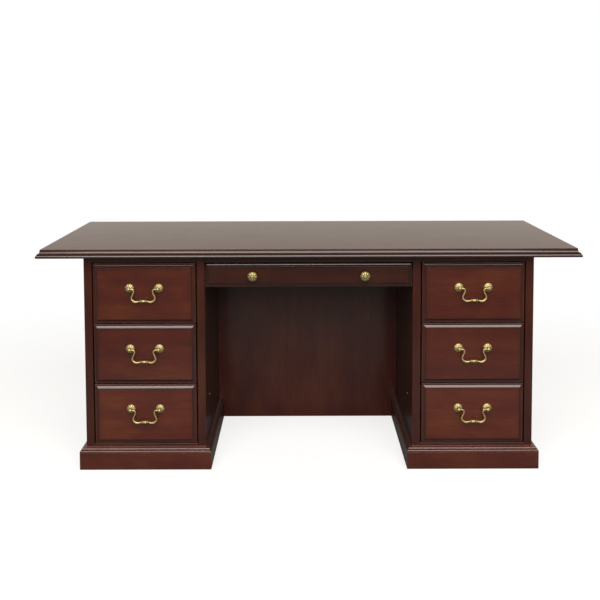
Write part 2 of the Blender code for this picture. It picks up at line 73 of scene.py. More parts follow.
TOP_NOSE_UNDER = (0.0035, 0.0045)  # how far the underside of the nose rounds in and up
TOP_NOSE_FLAT = 0.001
TOP_BEAD = (0.008, 10, 50)  # radius, then the tilt of its face at start and end, in degrees
TOP_LEDGE = 0.0015
TOP_FILLET = 0.0036
TOP_HOLLOW = (0.0092, 80, 15)  # as for the bead
TOP_FACE_LEAN = 0.001
TOP_ARRIS = 0.0015
ARC_STEPS = 10
TOP_STAIN = 0.6
TOP_EDGE_DARKENING = 0.5
TOP_PAINTED_SHADE_REACH = 0.0045

CORNER_SIGNS = np.array([(-1, -1), (1, -1), (1, 1), (-1, 1)], float)
STRIP_RUNS = np.array([(1, 0), (0, 1), (-1, 0), (0, -1)], float)
STRIP_SPACING = 0.37  # across the veneer, from one strip of a frame to the next
FIGURE_SPACING = np.array((1.31, 0.53))  # along and across the veneer, from one figure to the next
SHARP_ANGLE = math.radians(32)
WELD_DISTANCE = 1e-6


def hollow_run(width, height):
    """Quarter ellipse that starts level and ends upright: (width sin t, height (1 - cos t))."""
    angle = np.linspace(0, np.pi / 2, ARC_STEPS + 1)[1:]
    return np.column_stack((width * np.sin(angle), height * (1 - np.cos(angle))))


def round_run(width, height):
    """Quarter ellipse that starts upright and ends level: (width (1 - cos t), height sin t)."""
    angle = np.linspace(0, np.pi / 2, ARC_STEPS + 1)[1:]
    return np.column_stack((width * (1 - np.cos(angle)), height * np.sin(angle)))


def bend_run(radius, start, end):
    """Round arc between two tilts of its face, in degrees back from upright: point a of it lies at
    radius |cos a - cos start| inward and radius |sin a - sin start| up."""
    angle = np.radians(np.linspace(start, end, ARC_STEPS + 1))
    arc = np.column_stack((np.cos(angle), np.sin(angle)))
    return radius * np.abs(arc - arc[0])[1:]


def carried_on(start, *runs):
    """Profile of (inset, rise) points in which each run starts where the one before it ended."""
    points = [np.array([start], float)]
    for run in runs:
        points.append(points[-1][-1] + np.atleast_2d(np.array(run, float)))
    return np.concatenate(points)


def painted_shade_near(profile, quirk, reach):
    """Depth of painted shade along a profile: 1 at the quirk, fading as exp(-(distance / reach)^2)."""
    distance = np.linalg.norm(profile - quirk, axis=1)
    return np.exp(-((distance / reach) ** 2))


def mitred_frame(half_sizes, profile, darkening, closed=False, figure=0):
    """Profile carried round a rectangle with mitred corners, in local axes a, b and c.

    Point k at corner c is the corner's signs times (half size - inset k), at height rise k. The
    grain runs along each strip: u is the way along it and v the length of profile so far. An open
    profile is capped at both ends by flat faces with the grain along a, as have the strips that lie
    level with the last of them. A closed one is a ring. The figure is the piece's place in the veneer.
    """
    count = len(profile)
    ring = np.empty((count, 4, 3))
    ring[..., :2] = CORNER_SIGNS * (np.asarray(half_sizes) - profile[:, :1, None])
    ring[..., 2] = profile[:, 1:]
    step = np.arange(count if closed else count - 1)[:, None]
    side = np.arange(4)[None, :]
    steps = np.stack(np.broadcast_arrays(step, step, step + 1, step + 1 + 0 * side), axis=-1)
    sides = np.stack(np.broadcast_arrays(side + 0 * step, side + 1, side + 1, side), axis=-1) % 4
    faces = (steps % count) * 4 + sides
    length = np.linalg.norm(np.diff(profile, axis=0, append=profile[:1]), axis=1)
    travel = np.concatenate(([0.0], np.cumsum(length)))
    corners = ring[steps % count, sides]
    along = (corners[..., :2] * STRIP_RUNS[None, :, None, :]).sum(axis=-1)
    across = travel[steps] + side[..., None] * STRIP_SPACING
    grain = np.stack((along, across), axis=-1)
    points, faces, grain = ring.reshape(-1, 3), faces.reshape(-1, 4), grain.reshape(-1, 4, 2)
    if not closed:
        level = profile[:, 1] == profile[-1, 1]
        flat = np.repeat(level[:-1] & level[1:], 4)
        grain[flat] = points[faces[flat], :2]
        caps = np.array([(3, 2, 1, 0), (0, 1, 2, 3)]) + [[0], [(count - 1) * 4]]
        faces = np.concatenate((faces, caps))
        grain = np.concatenate((grain, points[caps, :2]))
    return points, faces, grain + figure * FIGURE_SPACING, np.repeat(darkening, 4)


def at_foot(points, low, high):
    """Points moved from the origin to the middle of the foot of a box."""
    return points + [*((low + high) / 2)[:2], low[2]]


def mesh_piece(name, points, faces, grain=None, recess=None, weld=False):
    """Object at the origin with its place in its mesh, smooth but for edges past the sharp angle.
    Mitres, whose two ends have the same place in their rings of four, are sharp at any angle. Darkening,
    mostly painted shade, on wood or patina on brass is given for each point, or for each corner of each
    face."""
    mesh = bpy.data.meshes.new(name)
    mesh.from_pydata(np.asarray(points).tolist(), [], np.asarray(faces).tolist())
    if grain is not None:
        mesh.uv_layers.new(name="grain").uv.foreach_set("vector", grain.ravel())
    if recess is not None:
        domain = "POINT" if recess.ndim == 1 else "CORNER"
        mesh.attributes.new("recess", "FLOAT", domain).data.foreach_set("value", recess.ravel())
    if weld:
        shell = bmesh.new()
        shell.from_mesh(mesh)
        bmesh.ops.remove_doubles(shell, verts=shell.verts, dist=WELD_DISTANCE)
        bmesh.ops.recalc_face_normals(shell, faces=shell.faces)
        shell.to_mesh(mesh)
        shell.free()
    mesh.shade_smooth()
    mesh.set_sharp_from_angle(angle=SHARP_ANGLE)
    if grain is not None:
        ends = np.empty((len(mesh.edges), 2), np.int32)
        sharp = np.empty(len(mesh.edges), bool)
        mesh.edges.foreach_get("vertices", ends.ravel())
        mesh.edges.foreach_get("use_edge_sharp", sharp)
        mesh.edges.foreach_set("use_edge_sharp", sharp | (np.diff(ends)[:, 0] % 4 == 0))
    piece = bpy.data.objects.new(name, mesh)
    bpy.context.scene.collection.objects.link(piece)
    return piece


def add_node(tree, kind, sockets=None, **settings):
    """Shader node with its settings; a socket is linked where its value is another node's output."""
    made = tree.nodes.new(kind)
    for setting, value in settings.items():
        setattr(made, setting, value)
    for socket, value in (sockets or {}).items():
        if isinstance(value, bpy.types.NodeSocket):
            tree.links.new(value, made.inputs[socket])
        else:
            made.inputs[socket].default_value = value
    return made


def new_finish(name):
    """Material with nodes: the material, its node tree and its shader."""
    material = bpy.data.materials.new(name)
    material.use_nodes = True
    return material, material.node_tree, material.node_tree.nodes["Principled BSDF"]


def grain_coordinate(tree, grain_axis):
    """The piece's own grain map where no axis is given, or else its place in the frame."""
    if grain_axis is None:
        return add_node(tree, "ShaderNodeUVMap", uv_map="grain").outputs["UV"], 0
    return add_node(tree, "ShaderNodeTexCoord").outputs["Object"], grain_axis


def grain_noise(tree, coordinate, grain_axis, along, across, detail, distortion=0.0):
    """Noise drawn out along the grain: the number of cells per metre along and across it."""
    scale = [across] * 3
    scale[grain_axis] = along
    stretched = add_node(tree, "ShaderNodeMapping", {"Vector": coordinate, "Scale": scale})
    sockets = {"Vector": stretched.outputs[0], "Scale": 1.0, "Detail": detail, "Distortion": distortion}
    return add_node(tree, "ShaderNodeTexNoise", sockets).outputs["Fac"]


def colour_ramp(tree, factor, stops):
    """Ramp through (position, colour) stops."""
    ramp = add_node(tree, "ShaderNodeValToRGB", {"Fac": factor})
    elements = ramp.color_ramp.elements
    while len(elements) < len(stops):
        elements.new(stops[len(elements) - 1][0])
    for element, (position, colour) in zip(elements, stops):
        element.position = position
        element.color = (*colour, 1)
    return ramp.outputs["Color"]


def mix_colours(tree, factor, first, second, blend="MIX"):
    """The first colour where the factor is 0 and the second, or the blend of both, where it is 1."""
    sockets = {"Fac": factor, "Color1": first, "Color2": second}
    return add_node(tree, "ShaderNodeMixRGB", sockets, blend_type=blend).outputs[0]


def map_range(tree, value, source, target=(0.0, 1.0), kind="LINEAR"):
    """Value carried from the source range to the target range."""
    sockets = {"Value": value, "From Min": source[0], "From Max": source[1]}
    sockets |= {"To Min": target[0], "To Max": target[1]}
    return add_node(tree, "ShaderNodeMapRange", sockets, interpolation_type=kind).outputs[0]


VENEER_RIBBON = (2.4, 30, 3, 0.5)  # cells per metre along and across the grain, detail, distortion
VENEER_CLOUD = (6, 9, 2)
VENEER_FIBRE = (16, 650, 3)
CLOUD_SHARE = 0.6
STAIN_PLACES = (0.33, 0.50, 0.66)
STAIN_COLOURS = np.array([(0.060, 0.0103, 0.0064), (0.078, 0.0145, 0.0073), (0.100, 0.0235, 0.0083)])
PORE_STOPS = [(0.36, (0.62, 0.58, 0.56)), (0.56, (1.0, 1.0, 1.0))]
PORE_STRENGTH = 0.8
# Dark colour laid in by the recess attribute: mostly painted shade in quirks, gaps and the kneehole.
DARKENING_COLOUR = (0.014, 0.006, 0.005, 1)
FIBRE_RANGE = (0.3, 0.7)
SATIN_ROUGHNESS = (0.42, 0.33)
FIBRE_BUMP = {"Strength": 0.04, "Distance": 0.0002}
WOOD_SPECULAR = 0.10
LACQUER_COAT = 0.45
LACQUER_IOR = 1.9
LACQUER_ROUGHNESS = 0.14


def lacquered_mahogany(name, grain_axis=None, depth=1.0, coat=LACQUER_COAT):
    """Red-brown mahogany veneer: ribbon figure and clouds tint it, fine fibres darken it, the recess
    attribute lays in a dark colour, mostly painted shade in quirks, gaps and shaded strips, and a satin
    lacquer coat lies over all of it. The stain's depth, one number or one for each of red, green and
    blue, scales its colours; it also makes darker or lighter copies of the finish, as painted light."""
    material, tree, shader = new_finish(name)
    coordinate, axis = grain_coordinate(tree, grain_axis)
    ribbon = grain_noise(tree, coordinate, axis, *VENEER_RIBBON)
    cloud = grain_noise(tree, coordinate, axis, *VENEER_CLOUD)
    fibre = grain_noise(tree, coordinate, axis, *VENEER_FIBRE)
    tone = add_node(tree, "ShaderNodeMix", {"Factor": CLOUD_SHARE, "A": ribbon, "B": cloud}).outputs[0]
    stain = STAIN_COLOURS * depth
    body = colour_ramp(tree, tone, list(zip(STAIN_PLACES, stain.tolist())))
    pores = colour_ramp(tree, fibre, PORE_STOPS)
    grained = mix_colours(tree, PORE_STRENGTH, body, pores, "MULTIPLY")
    recess = add_node(tree, "ShaderNodeAttribute", attribute_name="recess").outputs["Fac"]
    darkened = mix_colours(tree, recess, grained, DARKENING_COLOUR)
    tree.links.new(darkened, shader.inputs["Base Color"])
    sheen = map_range(tree, fibre, FIBRE_RANGE, SATIN_ROUGHNESS)
    tree.links.new(sheen, shader.inputs["Roughness"])
    bump = add_node(tree, "ShaderNodeBump", {**FIBRE_BUMP, "Height": fibre})
    tree.links.new(bump.outputs[0], shader.inputs["Normal"])
    shader.inputs["Specular IOR Level"].default_value = WOOD_SPECULAR
    shader.inputs["Coat Weight"].default_value = coat
    shader.inputs["Coat IOR"].default_value = LACQUER_IOR
    shader.inputs["Coat Roughness"].default_value = LACQUER_ROUGHNESS
    return material


def dress(piece, material, slot, body, *nodes):
    """Gives a new piece its finish, the CAD body that it rides on and the nodes that it stands for."""
    piece.data.materials.append(material)
    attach(piece, body)
    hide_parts(*nodes)


TOP_MAHOGANY = lacquered_mahogany("desk top mahogany", depth=TOP_STAIN)
low, high = np.array(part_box("desk_top"))
size = high - low
bead = bend_run(*TOP_BEAD)
hollow = bend_run(*TOP_HOLLOW)
bead_top = TOP_NOSE_UNDER[1] + TOP_NOSE_FLAT + bead[-1, 1]
face_height = size[2] - bead_top - TOP_FILLET - hollow[-1, 1] - TOP_ARRIS
profile = carried_on(
    (TOP_NOSE_UNDER[0], 0),
    hollow_run(-TOP_NOSE_UNDER[0], TOP_NOSE_UNDER[1]),
    (0, TOP_NOSE_FLAT),
    bead,
    (TOP_LEDGE, 0),
    (0, TOP_FILLET),
    hollow,
    (TOP_FACE_LEAN, face_height),
    round_run(TOP_ARRIS, TOP_ARRIS),
)
fillet_middle = (bead[-1, 0] + TOP_LEDGE, bead_top + TOP_FILLET / 2)
# Darkening of the moulded edge below the arris, with painted shade in the fillet and under the nose.
darkening = np.maximum.reduce([
    TOP_EDGE_DARKENING * (profile[:, 1] < size[2] - TOP_ARRIS / 2),
    painted_shade_near(profile, fillet_middle, TOP_PAINTED_SHADE_REACH),
    profile[:, 1] < TOP_NOSE_UNDER[1] / 2,
])
points, faces, grain, recess = mitred_frame(size[:2] / 2, profile, darkening)
piece = mesh_piece("top_slab", at_foot(points, low, high), faces, grain, recess)
dress(piece, TOP_MAHOGANY, "mahogany", "carcass", "desk_top")


# Pedestal cases: veneered side and back panels with upright grain, which stay as they are in the
# frame, and a solid face frame at the front. Stiles and rails are glued up from separate sticks
# with softened arrises, so each has its grain along its own length.

STICK_EASE = 0.0009
STICK_STAIN = 0.56
FRONT_GAP = np.array((0.0045, 0.0, 0.003))  # round a stack of drawer fronts, sideways and up
# The kneehole sides are painted darker and greyer, as shade in the kneehole.
INNER_PAINTED_SHADE = (0.48, 0.95, 1.5)
INNER_COAT = 0.2
UPRIGHT_STICK = np.array([(0, 0, 1), (1, 0, 0), (0, 1, 0)], float)  # axes a, b and c of the stick
LEVEL_STICK = np.array([(1, 0, 0), (0, 0, 1), (0, -1, 0)], float)
SIDES = ("left", "right")
UPRIGHT_GRAIN = 2


def stick(low, high, axes, figure):
    """Board between two corners with rounded arrises, and its grain along the first of its axes."""
    low, high = np.array((low, high))
    size = np.abs(axes @ (high - low))
    profile = carried_on(
        (STICK_EASE, 0),
        hollow_run(-STICK_EASE, STICK_EASE),
        (0, size[2] - 2 * STICK_EASE),
        round_run(STICK_EASE, STICK_EASE),
    )
    points, *others = mitred_frame(size[:2] / 2, profile, np.zeros(len(profile)), figure=figure)
    return points @ axes + (low + high) / 2 - axes[2] * size[2] / 2, *others


def joined(*parts):
    """One set of points, faces and other arrays from several, with the faces' numbers moved on."""
    points, faces, *others = zip(*parts)
    starts = np.cumsum([0] + [len(part) for part in points[:-1]])
    faces = [part + start for part, start in zip(faces, starts)]
    return [np.concatenate(arrays) for arrays in (points, faces, *others)]


def refinish(node, material):
    """Gives a CAD node that keeps its shape a better finish."""
    mesh = frame["nodes"][node].data
    mesh.materials.clear()
    mesh.materials.append(material)


UPRIGHT_MAHOGANY = lacquered_mahogany("upright mahogany", UPRIGHT_GRAIN)
# Shaded copy of the finish for the kneehole sides.
SHADED_INNER_MAHOGANY = lacquered_mahogany("inner side mahogany", UPRIGHT_GRAIN, INNER_PAINTED_SHADE, INNER_COAT)
STICK_MAHOGANY = lacquered_mahogany("face frame mahogany", depth=STICK_STAIN)
for number, side in enumerate(SIDES):
    refinish(f"{side}_outer_side", UPRIGHT_MAHOGANY)
    refinish(f"{side}_inner_side", SHADED_INNER_MAHOGANY)
    refinish(f"{side}_back", UPRIGHT_MAHOGANY)
    low, high = np.array(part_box(f"{side}_face_frame"))
    sill = np.array(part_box(f"{side}_lower_drawer_front")[0]) - FRONT_GAP
    lintel = np.array(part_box(f"{side}_upper_drawer_front")[1]) + FRONT_GAP
    sticks = (
        (low, (sill[0], high[1], high[2]), UPRIGHT_STICK),
        ((lintel[0], low[1], low[2]), high, UPRIGHT_STICK),
        ((sill[0], low[1], low[2]), (lintel[0], high[1], sill[2]), LEVEL_STICK),
        ((sill[0], low[1], lintel[2]), (lintel[0], high[1], high[2]), LEVEL_STICK),
    )
    figures = len(sticks) * number + np.arange(1, len(sticks) + 1)
    parts = [stick(*board, figure) for board, figure in zip(sticks, figures)]
    piece = mesh_piece(f"{side}_stiles_and_rails", *joined(*parts))
    dress(piece, STICK_MAHOGANY, "mahogany", "carcass", f"{side}_face_frame")


# Plinths: a frame of four mitred boards round the foot of each case, glued and pinned to it, and on
# the boards a solid cap moulding with a bead, a step, a round and a hollow up to the case, with painted
# shade at the foot of the step. The strips that face the kneehole are painted darker, as its shade.

PLINTH_CLEARANCE = 0.0003
PLINTH_EASE = 0.0012
PLINTH_FIGURE = 9
CAP_FLAT = 0.001
CAP_BEAD = (0.004, 0.0045)  # inset and rise, as for the step and the round
CAP_STEP = (0.001, 0.0008)
CAP_ROUND = (0.006, 0.006)
CAP_PAINTED_SHADE_REACH = 0.0008
CAP_FIGURE = 12
KNEEHOLE_STRIPS = {"left": 1, "right": 3}
# Painted shade on the plinth strips that face the kneehole.
KNEEHOLE_PAINTED_SHADE = 0.65


def plinth_ring(name, node, side, profile, darkening, figure):
    """Mitred ring of a profile in the place of its node, with painted shade on the face corners of the
    one of its four strips that looks into the kneehole, where shade falls."""
    low, high = np.array(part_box(node))
    half_sizes = (high - low)[:2] / 2
    points, faces, grain, recess = mitred_frame(half_sizes, profile, darkening, closed=True, figure=figure)
    recess = recess[faces]
    inner = slice(KNEEHOLE_STRIPS[side], None, 4)
    recess[inner] = np.maximum(recess[inner], KNEEHOLE_PAINTED_SHADE)
    piece = mesh_piece(name, at_foot(points, low, high), faces, grain, recess)
    dress(piece, PLINTH_MAHOGANY, "mahogany", "carcass", node)


PLINTH_MAHOGANY = lacquered_mahogany("lacquered mahogany")
for number, side in enumerate(SIDES):
    low, high = np.array(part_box(f"{side}_plinth"))
    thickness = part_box(f"{side}_face_frame")[0][0] - low[0] - PLINTH_CLEARANCE
    profile = carried_on(
        (thickness, 0),
        (PLINTH_EASE - thickness, 0),
        hollow_run(-PLINTH_EASE, PLINTH_EASE),
        (0, high[2] - low[2] - 2 * PLINTH_EASE),
        round_run(PLINTH_EASE, PLINTH_EASE),
        (thickness - PLINTH_EASE, 0),
    )
    darkening = np.zeros(len(profile))
    figure = PLINTH_FIGURE + number
    plinth_ring(f"{side}_plinth_boards", f"{side}_plinth", side, profile, darkening, figure)

    low, high = np.array(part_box(f"{side}_plinth_cap"))
    below = CAP_FLAT + CAP_BEAD[1] + CAP_STEP[1] + CAP_ROUND[1]
    before = CAP_BEAD[0] + CAP_STEP[0] + CAP_ROUND[0]
    profile = carried_on(
        (thickness, 0),
        (-thickness, 0),
        (0, CAP_FLAT),
        round_run(*CAP_BEAD),
        (CAP_STEP[0], 0),
        (0, CAP_STEP[1]),
        round_run(*CAP_ROUND),
        hollow_run(thickness - before, high[2] - low[2] - below),
    )
    step_foot = (CAP_BEAD[0] + CAP_STEP[0], CAP_FLAT + CAP_BEAD[1])
    # Painted shade at the foot of the cap's step.
    darkening = painted_shade_near(profile, step_foot, CAP_PAINTED_SHADE_REACH)
    figure = CAP_FIGURE + number
    plinth_ring(f"{side}_plinth_moulding", f"{side}_plinth_cap", side, profile, darkening, figure)


# Drawer boxes and runners: pale sealed hardwood, unstained because it only shows when a drawer is
# open. The grain lies front to back. Only the front edges of the runner frames, which lie behind the
# gaps between the drawers, are painted dark, as shade in the gaps.

HARDWOOD_BAND = (1.5, 45, 3, 0.8)  # as for the veneer's ribbon
HARDWOOD_FIBRE = (20, 700, 3)
HARDWOOD_STOPS = [(0.35, (0.40, 0.26, 0.14)), (0.65, (0.56, 0.40, 0.24))]
FLECK_STOPS = [(0.35, (0.74, 0.70, 0.66)), (0.55, (1.0, 1.0, 1.0))]
FLECK_STRENGTH = 0.7
SEALER_ROUGHNESS = (0.62, 0.5)
# Painted shade on the runners' front edges, seen through the gaps between the drawers.
RUNNER_PAINTED_SHADE_COLOUR = (0.020, 0.008, 0.006, 1)
RUNNER_PAINTED_SHADE_REACH = 0.012
DEPTH_GRAIN = 1
LEVELS = ("lower", "middle", "upper")
DRAWERS = [f"{side}_{level}_drawer" for side in SIDES for level in LEVELS] + ["centre_drawer"]


def sealed_hardwood(name, grain_axis, painted_shade_from=None):
    """Pale hardwood: broad bands tint it, short fibres fleck it, and a thin sealer leaves it matt.
    Where a front edge is given, painted shade fades out behind it."""
    material, tree, shader = new_finish(name)
    coordinate, axis = grain_coordinate(tree, grain_axis)
    band = grain_noise(tree, coordinate, axis, *HARDWOOD_BAND)
    fibre = grain_noise(tree, coordinate, axis, *HARDWOOD_FIBRE)
    pale = colour_ramp(tree, band, HARDWOOD_STOPS)
    flecks = colour_ramp(tree, fibre, FLECK_STOPS)
    wood = mix_colours(tree, FLECK_STRENGTH, pale, flecks, "MULTIPLY")
    if painted_shade_from is not None:
        place = add_node(tree, "ShaderNodeSeparateXYZ", {0: coordinate}).outputs["Y"]
        reach = (painted_shade_from, painted_shade_from + RUNNER_PAINTED_SHADE_REACH)
        edge = map_range(tree, place, reach, kind="SMOOTHSTEP")
        wood = mix_colours(tree, edge, RUNNER_PAINTED_SHADE_COLOUR, wood)
    tree.links.new(wood, shader.inputs["Base Color"])
    sheen = map_range(tree, fibre, FIBRE_RANGE, SEALER_ROUGHNESS)
    tree.links.new(sheen, shader.inputs["Roughness"])
    return material


DRAWER_WOOD = sealed_hardwood("sealed hardwood", DEPTH_GRAIN)
RUNNER_WOOD = sealed_hardwood("runner hardwood", DEPTH_GRAIN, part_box("left_bottom")[0][1])
for side in SIDES:
    for board in ("bottom", "lower_runner_frame", "upper_runner_frame"):
        refinish(f"{side}_{board}", RUNNER_WOOD)
    refinish(f"centre_{side}_runner", DRAWER_WOOD)
for drawer in DRAWERS:
    refinish(f"{drawer}_box", DRAWER_WOOD)


# Drawer fronts: solid boards with a raised field. A flat strip runs round the edge, then a shallow
# hollow rises from a fine quirk up to the field, so the mouldings meet in mitres at the corners.
# Each front is screwed to its box from behind.

FRONT_FIGURES = (20, 21, 29, 86, 66, 74, 33)  # place in the veneer of each drawer's front
# Lit and shaded copies of the fronts' finish: the lower fronts are painted lighter, the others darker,
# as light falls.
FRONT_PAINTED_LIGHT = {"lower": (1.14, 1.08, 1.02), "middle": (0.93, 0.90, 0.94), "upper": (0.93, 0.96, 1.02)}
# The centre front is painted darker and bluer, as shade under the top's overhang.
CENTRE_PAINTED_SHADE = (0.43, 0.46, 0.55)
FRONT_ARRIS = 0.0009
FRONT_STRIPS = (0.0055, 0.0055)  # width over the field and under it
CENTRE_STRIPS = (0.0012, 0.0050)
FRONT_QUIRK = 0.0005
MOULDING_WIDTH = 0.0064
FIELD_RISE = 0.0046
CENTRE_RISE = 0.0042
FIELD_START_SLOPE = 0.62
CENTRE_START_SLOPE = 0.51
FIELD_ARRIS = 0.0006
FIELD_MARGIN = 0.0010
FIELD_SHADE_WIDTH = 0.014
# Painted shade by the gaps, in the quirk, at the field's edge and on a border round the field; the strip
# is darkened.
ARRIS_PAINTED_SHADE = 0.8
STRIP_DARKENING = 0.25
QUIRK_PAINTED_SHADE = (0.7, 0.0025)  # depth and reach
FIELD_EDGE_PAINTED_SHADE = (0.97, 0.0055)
FIELD_SHADE = 0.3


def shallow_hollow(width, height, slope):
    """Hollow that steepens evenly: rise = height (s t + (1 - s) t^2), with s its starting slope."""
    way = np.linspace(0, 1, ARC_STEPS + 1)[1:]
    rise = slope * way + (1 - slope) * way**2
    return np.column_stack((width * way, height * rise))


# Lit and shaded copies of one finish, one for each level of drawers.
FRONT_LIT_AND_SHADED_FINISHES = {
    level: lacquered_mahogany(f"{level} drawer mahogany", depth=FRONT_PAINTED_LIGHT[level]) for level in LEVELS
}
# Shaded copy of the finish for the centre front, painted shade under the top.
CENTRE_SHADED_FINISH = lacquered_mahogany("kneehole mahogany", depth=CENTRE_PAINTED_SHADE)
for drawer, figure in zip(DRAWERS, FRONT_FIGURES):
    if drawer == "centre_drawer":
        over, under = CENTRE_STRIPS
        rise, slope, finish = CENTRE_RISE, CENTRE_START_SLOPE, CENTRE_SHADED_FINISH
    else:
        over, under = FRONT_STRIPS
        rise, slope, finish = FIELD_RISE, FIELD_START_SLOPE, FRONT_LIT_AND_SHADED_FINISHES[drawer.split("_")[1]]
    low, high = np.array(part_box(f"{drawer}_front"))
    width, thickness, height = high - low
    strip = (over + under) / 2
    strip_height = thickness - rise
    side_height = strip_height - 3 * FRONT_ARRIS
    profile = carried_on(
        (FRONT_ARRIS, 0),
        hollow_run(-FRONT_ARRIS, FRONT_ARRIS),
        (0, side_height - FRONT_ARRIS),
        (0, 2 * FRONT_ARRIS),
        round_run(FRONT_ARRIS, FRONT_ARRIS),
        (strip, 0),
        (0, -FRONT_QUIRK),
        shallow_hollow(MOULDING_WIDTH, rise + FRONT_QUIRK - FIELD_ARRIS, slope),
        round_run(FIELD_ARRIS, FIELD_ARRIS),
        (FIELD_MARGIN, 0),
        (FIELD_SHADE_WIDTH, 0),
    )
    inset = profile[:, 0]
    quirk_place = (FRONT_ARRIS + strip, strip_height - FRONT_QUIRK)
    field_edge = profile[-3]
    # Painted shade on the sides and arris that face the gaps, in the quirk, at the field's edge and on a
    # fading border of the field; the strip is darkened too.
    darkening = np.maximum.reduce([
        profile[:, 1] < side_height + FRONT_ARRIS,
        ARRIS_PAINTED_SHADE * (inset < FRONT_ARRIS / 3),
        STRIP_DARKENING * (inset < FRONT_ARRIS + strip),
        QUIRK_PAINTED_SHADE[0] * painted_shade_near(profile, quirk_place, QUIRK_PAINTED_SHADE[1]),
        FIELD_EDGE_PAINTED_SHADE[0] * painted_shade_near(profile, field_edge, FIELD_EDGE_PAINTED_SHADE[1]),
    ])
    darkening[-2:] = (FIELD_SHADE, 0)
    half_sizes = np.array((width, height)) / 2
    points, faces, grain, recess = mitred_frame(half_sizes, profile, darkening, figure=figure)
    points[:, 1] += (under - over) / 2 * np.repeat(inset > strip, 4)
    back_middle = np.array(((low[0] + high[0]) / 2, high[1], (low[2] + high[2]) / 2))
    piece = mesh_piece(f"{drawer}_panel", points @ LEVEL_STICK + back_middle, faces, grain, recess)
    dress(piece, finish, "mahogany", drawer, f"{drawer}_front")


# Pull posts: cast brass, antiqued so that a dark patina stays in the hollows. A domed rosette with
# scalloped petals lies on the drawer front, and a short neck carries the round eye for the bail.

ROSETTE_RADIUS = 0.0152
ROSETTE_RIM = 0.0018
ROSETTE_DOME = 0.0082
DOME_FULLNESS = 0.75
DOME_ROWS = 22
NECK_RADIUS = 0.0038
NECK_HEIGHTS = (0.0118, 0.0100)
EYE_RADIUS = 0.0056
EYE_BORE = 0.0026
EYE_ROWS = 21
EYE_SIDES = 32
PETALS = 9
SCALLOP = 0.06
PETAL_GROOVE = 0.0015
GROOVE_LEAN = 1.4
AROUND = 96
PETAL_PATINA = (0.12, 0.8)  # all over, and more in the grooves
NECK_PATINA = 0.7
NECK_PATINA_ROWS = slice(2, 7)  # the foot of the neck and the middle of the dome
BRASS_MOTTLE = {"Scale": 420.0, "Detail": 4.0, "Roughness": 0.6}
BRASS_STOPS = [(0.35, (0.40, 0.312, 0.120)), (0.65, (0.56, 0.472, 0.228))]
PATINA_COLOUR = (0.075, 0.045, 0.014, 1)
MOTTLE_RANGE = (0.3, 0.7)
BRASS_ROUGHNESS = (0.50, 0.38)
BRASS_METALLIC = 0.66


def antique_brass():
    """Brass with a brown patina where the casting is hollow, and a fine mottle in its colour and
    roughness.
    """
    material, tree, shader = new_finish("antique brass")
    place = add_node(tree, "ShaderNodeTexCoord").outputs["Object"]
    mottle = add_node(tree, "ShaderNodeTexNoise", {"Vector": place, **BRASS_MOTTLE}).outputs["Fac"]
    metal = colour_ramp(tree, mottle, BRASS_STOPS)
    recess = add_node(tree, "ShaderNodeAttribute", attribute_name="recess").outputs["Fac"]
    aged = mix_colours(tree, recess, metal, PATINA_COLOUR)
    tree.links.new(aged, shader.inputs["Base Color"])
    dull = map_range(tree, mottle, MOTTLE_RANGE, BRASS_ROUGHNESS)
    tree.links.new(dull, shader.inputs["Roughness"])
    shader.inputs["Metallic"].default_value = BRASS_METALLIC
    return material


def full_turn(count):
    """Angles of a full turn, as a row that doesn't repeat its first."""
    return np.linspace(0, 2 * np.pi, count, endpoint=False)[None, :]


def grid_faces(rows, columns, wrap_rows=False):
    """Quads of a grid whose columns close on themselves, and whose rows do so too where asked."""
    row = np.arange(rows if wrap_rows else rows - 1)[:, None]
    column = np.arange(columns)[None, :]
    corners = ((row, column), (row + 1, column), (row + 1, column + 1), (row, column + 1))
    numbers = [(r % rows) * columns + c % columns + 0 * (row + column) for r, c in corners]
    return np.stack(numbers, axis=-1).reshape(-1, 4)


def turned_grid(radius, height, turn):
    """Turned surface: (radius cos turn, radius sin turn, height), with a row for each profile point."""
    grid = np.stack(np.broadcast_arrays(radius * np.cos(turn), radius * np.sin(turn), height), axis=-1)
    return grid.reshape(-1, 3), grid_faces(*grid.shape[:2])


def rosette_and_neck():
    """Neck and dome: the dome's height falls as the cosine of the way out, its rim is scalloped by
    the lobes |cos(petals turn / 2)|, and grooves between the lobes are deepest half way out."""
    turn = full_turn(AROUND)
    way = np.linspace(0, 1, DOME_ROWS)[:, None]
    valley = 1 - np.abs(np.cos(PETALS * turn / 2))
    groove = valley**2 * np.sin(np.pi * way**GROOVE_LEAN) ** 2
    rim = (NECK_RADIUS + (ROSETTE_RADIUS - NECK_RADIUS) * way) * (1 - SCALLOP * valley * way**3)
    dome = ROSETTE_RIM + (ROSETTE_DOME - ROSETTE_RIM) * np.cos(way * np.pi / 2) ** DOME_FULLNESS
    level = np.ones((1, AROUND))
    neck_radii = [0 * level, NECK_RADIUS * level, NECK_RADIUS * level]
    neck_heights = [NECK_HEIGHTS[0] * level, NECK_HEIGHTS[0] * level, NECK_HEIGHTS[1] * level]
    radius = np.concatenate([*neck_radii, rim, rim[-1:], 0 * level])
    height = np.concatenate([*neck_heights, dome - PETAL_GROOVE * groove, 0 * level, 0 * level])
    patina = np.zeros(height.shape)
    patina[len(neck_radii):-2] = PETAL_PATINA[0] + PETAL_PATINA[1] * groove
    patina[NECK_PATINA_ROWS] = np.maximum(patina[NECK_PATINA_ROWS], NECK_PATINA)
    return *turned_grid(radius, height, turn), np.clip(patina, 0, 1).ravel()


